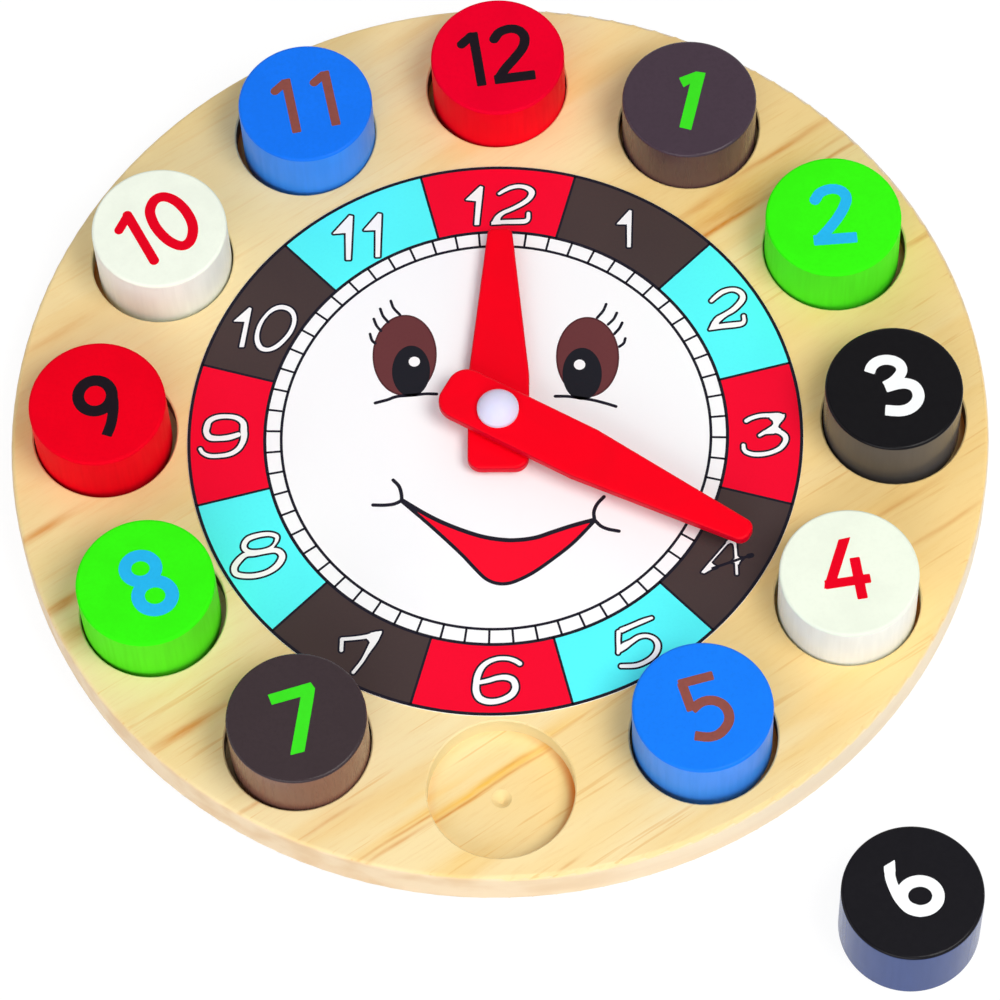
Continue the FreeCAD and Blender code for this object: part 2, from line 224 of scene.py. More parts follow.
def cut_faces(shapes, grow=0.0, step=CUT_STEP):
    """Flat faces over the union of shapes, grown by grow: a lifted grid cut at its contour."""
    boxes = np.array([shape.box for shape in shapes])
    xs = np.arange(boxes[:, 0].min() - grow, boxes[:, 2].max() + grow + step, step)
    ys = np.arange(boxes[:, 1].min() - grow, boxes[:, 3].max() + grow + step, step)
    x, y = np.meshgrid(xs, ys)
    lift = lift_of(shapes, x, y, grow)
    inside = lift < 0
    kept = inside[:-1, :-1] | inside[1:, :-1] | inside[:-1, 1:] | inside[1:, 1:]
    rows, columns = np.nonzero(kept)
    corner = rows * len(xs) + columns
    quads = np.stack([corner, corner + 1, corner + len(xs) + 1, corner + len(xs)], 1)
    used, quads = np.unique(quads, return_inverse=True)
    lifted = np.stack([x.ravel()[used], y.ravel()[used], lift.ravel()[used]], 1)
    points, edges = contour(lifted.tolist(), quads.reshape(-1, 4).tolist())

    points, _, triangles, *_ = delaunay_2d_cdt(points, edges, [], 0, WELD / 4)
    points = np.array(points)
    middles = points[np.array(triangles)].mean(1)
    inside = lift_of(shapes, middles[:, 0], middles[:, 1], grow) < 0
    faces = [list(triangle) for triangle, kept in zip(triangles, inside) if kept]
    return [tuple(point) for point in points.tolist()], faces


def arc_band(inner, outer, start, end, centre=(0, 0)):
    """Flat faces of a ring or of a stretch of one; degrees clockwise from 12."""
    whole = end - start >= 360
    steps = int((end - start) / ARC_STEP)
    points = []
    for step in range(steps if whole else steps + 1):
        angle = math.radians(start + (end - start) * step / steps)
        for radius in (inner, outer):
            points.append((centre[0] + radius * math.sin(angle), centre[1] + radius * math.cos(angle)))
    count = len(points)
    faces = []
    for step in range(steps):
        a = 2 * step
        faces.append([a, (a + 2) % count, (a + 3) % count, a + 1][::-1])
    return points, faces


def bar(inner, outer, half, angle, centre=(0, 0)):
    """The flat face of a straight radial bar; degrees clockwise from 12."""
    out = Vector((math.sin(math.radians(angle)), math.cos(math.radians(angle))))
    side = Vector((out.y, -out.x)) * half
    middle = Vector(centre)
    corners = (out * inner - side, out * inner + side, out * outer + side, out * outer - side)
    return [tuple(middle + corner) for corner in corners], [[0, 1, 2, 3]]


def joined(parts):
    """Several flat pieces as one list of points and faces."""
    points, faces = [], []
    for part_points, part_faces in parts:
        faces += [[index + len(points) for index in face] for face in part_faces]
        points += part_points
    return points, faces


def film(name, flat, at, low, high, look, body):
    """A closed film over flat faces, between two heights, that rides on a body."""
    points, faces = flat
    count = len(points)
    corners = [((at[0] + x) * MM, (at[1] + y) * MM, high * MM) for x, y in points]
    corners += [(x, y, low * MM) for x, y, _ in corners]
    rims = {(a, b) for face in faces for a, b in zip(face, face[1:] + face[:1])}
    sides = [[b, a, a + count, b + count] for a, b in sorted(rims) if (b, a) not in rims]
    floors = [[index + count for index in reversed(face)] for face in faces]
    piece = add_mesh(name, corners, faces + floors + sides, look)
    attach(piece, body)


# ---- Materials ----


def linear(red, green, blue):
    """A screen colour from 0 to 255 as the linear colour that a shader takes."""
    values = [channel / 255 for channel in (red, green, blue)]
    return (*[v / 12.92 if v <= 0.04045 else ((v + 0.055) / 1.055) ** 2.4 for v in values], 1.0)


def darker(colour, share):
    """A linear colour dimmed to a share of its light."""
    return (*[channel * share for channel in colour[:3]], 1.0)


class Nodes:
    """Shader nodes under construction in one tree."""

    def __init__(self, tree):
        self.tree = tree

    def add(self, kind, inputs=(), **settings):
        """A node; an input is a number, a vector, a colour or another node's output."""
        made = self.tree.nodes.new("ShaderNode" + kind)
        for key, value in settings.items():
            setattr(made, key, value)
        for key, value in dict(inputs).items():
            self.plug(made.inputs[key], value)
        return made

    def plug(self, socket, value):
        if isinstance(value, bpy.types.NodeSocket):
            self.tree.links.new(value, socket)
        else:
            socket.default_value = value

    def math(self, operation, *values, clamp=False):
        made = self.add("Math", enumerate(values), operation=operation, use_clamp=clamp)
        return made.outputs[0]

    def length(self, x, y):
        """The length of the vector (x, y)."""
        squares = self.math("MULTIPLY_ADD", x, x, self.math("MULTIPLY", y, y))
        return self.math("SQRT", squares)

    def ramp(self, value, low, high, to_low=0.0, to_high=1.0, kind="SMOOTHSTEP"):
        """value mapped from low..high to to_low..to_high."""
        made = self.add("MapRange", {"Value": value, "From Min": low, "From Max": high,
                                     "To Min": to_low, "To Max": to_high}, interpolation_type=kind)
        return made.outputs[0]

    def ray_kinds(self):
        """Whether a ray comes from the camera, and whether it mirrors off or goes through a piece."""
        path = self.add("LightPath").outputs
        bounced = self.math("ADD", path["Is Glossy Ray"], path["Is Transmission Ray"], clamp=True)
        return path["Is Camera Ray"], bounced


class Look(Nodes):
    """A material under construction around its Principled shader."""

    def __init__(self, name, **constants):
        self.material = bpy.data.materials.new(name)
        self.material.use_nodes = True
        super().__init__(self.material.node_tree)
        self.shader = self.tree.nodes["Principled BSDF"]
        for key, value in constants.items():
            self.set(key.replace("_", " "), value)

    def set(self, key, value):
        self.plug(self.shader.inputs[key], value)

    def place(self, scale=1.0, turn=0.0):
        """The piece's own coordinates in millimetres, turned about Z and then scaled."""
        spot = self.add("TexCoord").outputs["Object"]
        turned = self.add("VectorRotate", {"Vector": spot, "Angle": turn}, rotation_type="Z_AXIS")
        scales = scale if isinstance(scale, tuple) else (scale,) * 3
        factor = [s / MM for s in scales]
        return self.add("VectorMath", {0: turned.outputs[0], 1: factor}, operation="MULTIPLY").outputs[0]

    def upward(self, low=0.4, high=0.85, both_ways=False):
        """1 where the piece's surface faces up, or down as well, and 0 on its sides."""
        normal = self.add("TexCoord").outputs["Normal"]
        up = self.add("SeparateXYZ", {0: normal}).outputs["Z"]
        return self.ramp(self.math("ABSOLUTE", up) if both_ways else up, low, high)

    def noise(self, scale, turn=0.0, detail=2.0, roughness=0.5, distortion=0.0):
        """Noise from 0 to 1; the larger the scale, the finer its grain."""
        return self.add("TexNoise", {"Vector": self.place(scale, turn), "Scale": 1.0, "Detail": detail,
                                     "Roughness": roughness, "Distortion": distortion}).outputs["Fac"]

    def mix(self, share, first, second):
        """The first colour, with a share of the second."""
        made = self.add("Mix", data_type="RGBA")
        self.plug(made.inputs["Factor"], share)
        colours = [socket for socket in made.inputs if socket.type == "RGBA"]
        self.plug(colours[0], first)
        self.plug(colours[1], second)
        return next(socket for socket in made.outputs if socket.type == "RGBA")

    def layers(self, colour, *coats):
        """A colour under coats of (share, colour), laid on in turn."""
        for share, coat in coats:
            colour = self.mix(share, colour, coat)
        return colour

    def bump(self, height, strength, depth):
        """A bump of depth metres on the shader's normal."""
        made = self.add("Bump", {"Height": height, "Strength": strength, "Distance": depth})
        self.set("Normal", made.outputs["Normal"])


# The board's wood, whose tones include painted light and shade: lighter towards the right, darker
# towards the left, a painted shadow along the socket floors' edges and painted shade on the walls around
# the blocks. Lengths are in mm.
WOOD = {
    "earlywood": linear(247, 228, 178), "deeper": linear(243, 214, 150), "honey": linear(239, 194, 110),
    "painted_light_right": linear(250, 210, 128), "painted_shade_left": linear(236, 212, 152), "line": linear(226, 168, 88),
    "fibre": linear(220, 164, 84), "sap": linear(244, 192, 74), "latewood": linear(212, 132, 38),
    "painted_floor_shadow": linear(222, 118, 14), "cut": linear(236, 222, 172), "painted_gap_shade": linear(92, 60, 38),
    "rim": linear(243, 219, 182), "rim_band": linear(232, 200, 156), "rim_painted_light": linear(253, 240, 214),
}
GRAIN_TURN = math.radians(-34)  # turns the board's grain onto the X axis
WANDER = 0.3                    # how far a strand strays sideways
STRAND_FALL = 0.9               # how fast a strand fades out from its middle
# Latewood streaks: place along the grain and across it, half length, half width, strength and,
# for some, the rise per millimetre along the grain.
STREAKS = [
    (-62, -76.2, 27, 0.35, 0.8), (-82, -77.8, 9, 0.45, 0.6),
    (-92, -63.7, 8, 0.5, 0.45), (-46, -74.4, 8, 0.4, 0.4), (-52, -105.3, 3, 0.4, 0.4),
    (78, 14.2, 13, 0.65, 1, 0.01), (112, 14.8, 10, 0.45, 0.8), (80, 16.8, 14, 2.2, 0.5, 0.02),
    (103, 23.9, 13, 0.8, 0.75, 0.02), (78, 21.8, 9, 1.3, 0.5, 0.04), (114, 18, 5, 0.4, 0.35),
    (115, -17.2, 4, 0.5, 0.5),
    (-107, 40.6, 8, 1.1, 0.75), (-113, 20.6, 6, 1.3, 0.9), (-115, 12, 4, 2.2, 0.6),
    (-107, -24.3, 9, 1.2, 0.85), (-104, -50, 8, 0.5, 0.5), (-76.3, 84.2, 8, 0.9, 0.35),
    (68.1, -73.5, 10, 0.6, 0.45), (73.2, -84.7, 12, 0.6, 0.5),
]
# Softer honey-yellow bands beside some of them, given in the same way.
SAP_BANDS = [
    (-54, -75, 20, 1.2, 0.95), (-66, -70.5, 12, 0.9, 0.3), (-70, -90, 14, 2.2, 0.25),
    (88, 19, 22, 4, 0.4),
]
BOARD_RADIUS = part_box("clock_board")[1].x / MM
BOARD_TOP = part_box("clock_board")[1].z / MM
RIM_FROM = BOARD_RADIUS - 1.4  # radius outside which the wood shows its turned rim
SOCKET_CIRCLE = 96.8           # radius of the circle that the sockets lie on
SOCKET_RADIUS = 17.7
SOCKET_FADE = (0.3, 1.3)       # how far past a socket's wall its colours fade out
TOP_FADE = (0.9, 0.5)          # how far below the board's top they do
UNDERSIDE_FADE = (1.0, 2.0)    # and how far above its underside
# A painted shadow along the edge of each socket's floor, strongest on one side of it.
PAINTED_SHADOW_RING = (2.7, 0.1)      # how far from the wall the painted shadow along a floor's edge starts and ends
PAINTED_SHADOW_STRENGTH = (0.15, 0.9)          # how strong it is on the inner clockwise side and on the opposite one
PAINTED_SHADOW_SIDES = (-4, 12)       # how far towards the outer anticlockwise side those are reached
PAINTED_SHADOW_SLANT = 0.7            # share of outward, and of anticlockwise, in that direction
# Sockets whose walls get no painted shade: the empty one, and both white blocks'.
# Each is a direction, clockwise from 12, and the angle after which it comes again.
SOCKETS_WITHOUT_GAP_SHADE = [(math.pi, 2 * math.pi), (2 * math.pi / 3, math.pi)]


def strands(look, along, across, rows):
    """How strongly a spot lies in any of the strands that the rows place."""
    total = 0.0
    for along0, across0, half_length, half_width, strength, *rise in rows:
        reach = look.math("SUBTRACT", along, along0)
        level = look.math("MULTIPLY_ADD", reach, -rise[0] if rise else 0.0, across)
        side = look.math("SUBTRACT", level, across0)
        reach = look.math("DIVIDE", reach, half_length)
        side = look.math("DIVIDE", side, half_width)
        squares = look.math("MULTIPLY_ADD", reach, reach, look.math("MULTIPLY", side, side))
        bell = look.math("EXPONENT", look.math("MULTIPLY", squares, -STRAND_FALL))
        total = look.math("MULTIPLY_ADD", bell, strength, total)
    return total


def face_wood(look, x, bands, lines, fibres):
    """The planed faces: pale earlywood with soft bands, fine lines and streaks along the grain, with
    painted light towards the right and painted shade towards the left.
    """
    broad = look.noise((0.007, 0.04, 0.04), GRAIN_TURN)
    wander = look.noise(0.06, GRAIN_TURN, detail=1)
    along, across, _ = look.add("SeparateXYZ", {0: look.place(1.0, GRAIN_TURN)}).outputs
    strayed = look.math("ADD", across, look.ramp(wander, 0.25, 0.75, -WANDER, WANDER))
    broken = look.ramp(fibres, 0.3, 0.65, 0.7, 1.0)
    sap, streaks = [look.math("MULTIPLY", strands(look, along, strayed, rows), broken, clamp=True)
                    for rows in (SAP_BANDS, STREAKS)]
    lined = look.math("MULTIPLY", look.ramp(lines, 0.6, 0.7), look.ramp(across, -30, 60, 0.42, 0.14))
    return look.layers(
        WOOD["earlywood"],
        (look.ramp(broad, 0.35, 0.65), WOOD["deeper"]),
        (look.ramp(bands, 0.5, 0.75, 0.0, 0.4), WOOD["honey"]),
        # painted light towards the right of the board, and painted shade towards its left
        (look.ramp(x, -30, 100, 0.0, 0.3), WOOD["painted_light_right"]),
        (look.ramp(x, -110, 20, 0.4, 0.0), WOOD["painted_shade_left"]),
        (lined, WOOD["line"]),
        (look.ramp(fibres, 0.45, 0.75, 0.0, 0.14), WOOD["fibre"]),
        (sap, WOOD["sap"]),
        (streaks, WOOD["latewood"]))


def socket_painted_shade(look, x, y, height):
    """How strongly a socket's floor gets a painted shadow along its edge, and its wall painted shade, at
    a spot.
    """
    radius = look.length(x, y)
    direction = look.math("ARCTAN2", x, y)
    angle = look.math("WRAP", direction, math.pi / HOURS, -math.pi / HOURS)
    aside = look.math("MULTIPLY", radius, look.math("SINE", angle))
    beyond = look.math("MULTIPLY_ADD", radius, look.math("COSINE", angle), -SOCKET_CIRCLE)
    from_middle = look.length(aside, beyond)
    below_top = look.ramp(height, BOARD_TOP - TOP_FADE[0], BOARD_TOP - TOP_FADE[1], 1.0, 0.0)
    inside = look.math("MULTIPLY", below_top, look.ramp(height, *UNDERSIDE_FADE))
    walls = [SOCKET_RADIUS + past for past in SOCKET_FADE]
    inside = look.math("MULTIPLY", inside, look.ramp(from_middle, *walls, 1.0, 0.0))

    ring = look.ramp(from_middle, *[SOCKET_RADIUS - short for short in PAINTED_SHADOW_RING])
    slanted = look.math("MULTIPLY", aside, -PAINTED_SHADOW_SLANT)
    one_side = look.math("MULTIPLY_ADD", beyond, PAINTED_SHADOW_SLANT, slanted)
    painted_floor_shadow = look.math("MULTIPLY", ring, look.ramp(one_side, *PAINTED_SHADOW_SIDES, *PAINTED_SHADOW_STRENGTH))

    painted_gap_shade = inside
    for first, every in SOCKETS_WITHOUT_GAP_SHADE:
        off = look.math("WRAP", look.math("SUBTRACT", direction, first), every / 2, -every / 2)
        other = look.math("GREATER_THAN", look.math("ABSOLUTE", off), math.pi / HOURS)
        painted_gap_shade = look.math("MULTIPLY", painted_gap_shade, other)
    return look.math("MULTIPLY", painted_floor_shadow, inside), painted_gap_shade


def make_pine():
    """Planed pine, with a paler turned rim that has painted light towards the right, a painted shadow
    along the edges of the socket floors, and painted shade on the socket walls around the blocks.
    """
    look = Look("pine", Specular_IOR_Level=0.25)
    bands = look.noise((0.011, 0.13, 0.13), GRAIN_TURN)
    lines = look.noise((0.03, 0.75, 0.75), GRAIN_TURN, roughness=0.6)
    fibres = look.noise((0.12, 1.1, 1.1), GRAIN_TURN, detail=3, roughness=0.7)
    x, y, height = look.add("SeparateXYZ", {0: look.place()}).outputs
    painted_floor_shadow, painted_gap_shade = socket_painted_shade(look, x, y, height)
    # painted shadow along the edges of the socket floors
    face = look.mix(painted_floor_shadow, face_wood(look, x, bands, lines, fibres), WOOD["painted_floor_shadow"])
    rim = look.layers(WOOD["rim"], (look.ramp(bands, 0.35, 0.7), WOOD["rim_band"]),
                      # painted light: the rim gets paler towards the right
                      (look.ramp(x, -20, 90, 0.0, 0.6), WOOD["rim_painted_light"]))
    at_rim = look.ramp(look.length(x, y), RIM_FROM - 0.4, RIM_FROM + 0.4)
    # painted shade on the socket walls around the blocks
    side = look.layers(WOOD["cut"], (at_rim, rim), (painted_gap_shade, WOOD["painted_gap_shade"]))
    look.set("Base Color", look.mix(look.upward(both_ways=True), side, face))
    look.set("Roughness", look.ramp(fibres, 0.3, 0.8, 0.42, 0.55))
    look.bump(look.math("ADD", fibres, lines), 0.2, 0.00005)
    return look.material


def make_paint(name, top, side, specular, roughness, speckle):
    """Paint on a turned block: mottled over the end grain, with upright fibres on the side, which takes
    its own tone: on the blocks a lighter one, painted sheen and reflected light.
    """
    look = Look(name, Specular_IOR_Level=specular)
    top, side = linear(*top), linear(*side)
    mottle = look.noise(0.9, detail=3, roughness=0.7)
    cloud = look.noise(0.09)
    fibres = look.noise((0.9, 0.9, 0.06))
    bands = look.noise((0.12, 0.12, 0.03))
    on_top = look.layers(top, (look.ramp(mottle, 0.38, 0.72, 0.0, speckle), darker(top, 0.84)),
                         (look.ramp(cloud, 0.35, 0.7, 0.0, 0.5), darker(top, 0.9)))
    # the blocks' sides get a lighter tone: painted sheen and reflected light
    side_with_painted_sheen = look.layers(side, (look.ramp(fibres, 0.35, 0.7, 0.0, 0.5), darker(side, 0.9)),
                          (look.ramp(bands, 0.35, 0.7, 0.0, 0.5), darker(side, 0.88)))
    upward = look.upward(0.1, 0.4)
    look.set("Base Color", look.mix(upward, side_with_painted_sheen, on_top))
    rough = look.ramp(fibres, 0.3, 0.75, roughness - 0.03, roughness + 0.05)
    look.set("Roughness", look.math("MULTIPLY_ADD", look.upward(*FLAT_TOP), TOP_ROUGHER, rough))
    look.bump(look.math("MULTIPLY", mottle, upward), 0.2, 0.00006)
    return look.material


def make_print(name, colour, tint, roughness=0.45):
    """Ink or sheet of the printed dial: even, with a very fine mottle."""
    look = Look(name, Specular_IOR_Level=0.08)
    mottle = look.noise(1.4, detail=3, roughness=0.7)
    cloud = look.noise(0.05, detail=1)
    look.set("Base Color", look.layers(
        linear(*colour),
        (look.ramp(mottle, 0.4, 0.8, 0.0, 0.4), linear(*tint)),
        (look.ramp(cloud, 0.3, 0.8, 0.0, 0.4), linear(*tint))))
    look.set("Roughness", look.ramp(mottle, 0.2, 0.8, roughness - 0.05, roughness + 0.08))
    look.bump(mottle, 0.15, 0.00003)
    return look.material


def make_plastic(name, colour, tint, roughness, subsurface=0.0, edge=None):
    """Moulded plastic: smooth, with a faint flow cloud and a shallow orange-peel surface.

    edge is a deeper tone for the sides of a flat piece: painted shade along its edges.
    """
    look = Look(name, Specular_IOR_Level=0.06, Subsurface_Weight=subsurface, Subsurface_Scale=0.002)
    cloud = look.noise(0.07, distortion=0.6)
    peel = look.noise(1.1, detail=1)
    face = look.mix(look.ramp(cloud, 0.3, 0.75), linear(*colour), linear(*tint))
    if edge:
        face = look.mix(look.upward(both_ways=True), linear(*edge), face)
    look.set("Base Color", face)
    look.set("Roughness", look.ramp(cloud, 0.3, 0.7, roughness - 0.04, roughness + 0.05))
    look.bump(peel, 0.06, 0.00003)
    return look.material


def make_steel():
    """Zinc-plated steel with the faint rings of a pressed washer."""
    look = Look("back_washer_steel", Metallic=1.0)
    rings = look.add("TexWave", {"Vector": look.place(), "Scale": 1.1, "Distortion": 0.4},
                     wave_type="RINGS", rings_direction="Z").outputs["Fac"]
    cloud = look.noise(0.4, detail=3)
    look.set("Base Color", look.mix(cloud, linear(205, 207, 208), linear(176, 180, 184)))
    look.set("Roughness", look.ramp(rings, 0.0, 1.0, 0.26, 0.4))
    look.bump(rings, 0.2, 0.00003)
    return look.material


# Specular level, roughness and speckle of each slot's paint.
GLOSS = {
    "paint_red": (0.01, 0.4, 0.25), "paint_green": (0.01, 0.4, 0.2), "paint_blue": (0.08, 0.34, 0.45),
    "paint_white": (0.1, 0.4, 0.15), "paint_brown": (0.2, 0.25, 0.7), "paint_black": (0.11, 0.22, 0.8),
}
TOP_ROUGHER = 0.2         # added to the roughness of the flat tops
FLAT_TOP = (0.97, 0.995)  # upward normals between which a rounded edge becomes that top
# The paint's slot on each block, and its tone on the top and on the side; the side tone is lighter than
# the top's, painted sheen and reflected light.
BLOCK_PAINTS = {
    12: ("paint_red", (240, 2, 42), (250, 10, 32)),
    1: ("paint_brown", (69, 54, 66), (92, 66, 68)),
    2: ("paint_green", (55, 248, 19), (86, 250, 40)),
    3: ("paint_black", (18, 17, 20), (90, 87, 86)),
    4: ("paint_white", (236, 244, 227), (252, 255, 250)),
    5: ("paint_blue", (20, 124, 248), (66, 148, 254)),
    6: ("paint_black", (21, 20, 25), (52, 74, 132)),
    7: ("paint_brown", (59, 47, 51), (128, 88, 76)),
    8: ("paint_green", (55, 248, 19), (94, 242, 38)),
    9: ("paint_red", (240, 2, 29), (250, 8, 28)),
    10: ("paint_white", (245, 252, 237), (250, 255, 250)),
    11: ("paint_blue", (20, 120, 250), (60, 144, 254)),
}


def dress_frame():
    """Gives every piece of the frame its finish."""
    nodes = frame["nodes"]
    looks = {
        "clock_board": make_pine(),
        "dial_label": make_print("dial_sheet", (250, 250, 252), (247, 247, 250), 0.4),
        # the hands' deeper red edge is painted shade along their sides
        "hour_hand": make_plastic("hand_red", (247, 1, 27), (241, 1, 26), 0.34, edge=(214, 2, 33)),
        "pivot_rivet": make_plastic("rivet_white", (226, 224, 250), (218, 216, 246), 0.28, 0.15),
        "dial_spacer": make_plastic("washer_white", (240, 240, 238), (230, 230, 228), 0.45),
        "back_washer": make_steel(),
    }
    looks["minute_hand"] = looks["hour_hand"]
    looks["hand_washer"] = looks["dial_spacer"]
    looks["rivet_socket"] = looks["pivot_rivet"]
    for hour, (slot, top, side) in BLOCK_PAINTS.items():
        looks[f"number_block_{hour:02d}"] = make_paint(f"{slot}_{hour:02d}", top, side, *GLOSS[slot])
    for name, look in looks.items():
        mesh = nodes[name].data
        mesh.materials.clear()
        mesh.materials.append(look)


# ---- The printed dial ----

sheet_low, sheet_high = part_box("dial_label")
DIAL = middle_of("dial_label")
DIAL_TOP = sheet_high.z / MM
DIAL_RADIUS = (sheet_high.x - sheet_low.x) / 2 / MM

RIM_LINE = 0.8          # width of the line around the dial
RIM_INSET = 0.05        # bare edge of the sheet outside that line
TRACK_CENTRE = (0.25, -0.1)
TRACK_OUTER = 56.75     # radii of the middles of the minute track's two lines
TRACK_INNER = 52.7
TRACK_OUTER_HALF = 0.4  # half their widths, and those of the ticks and of the fields' borders
TRACK_INNER_HALF = 0.35
TICK_HALF = 0.28
BORDER_HALF = 0.3
TICK_PHASE = 1.96       # degrees that the ticks, and the fields, are turned clockwise
SEGMENT_PHASE = 0.9
NUMERAL_OUTLINE = 0.5   # dark line around a white numeral

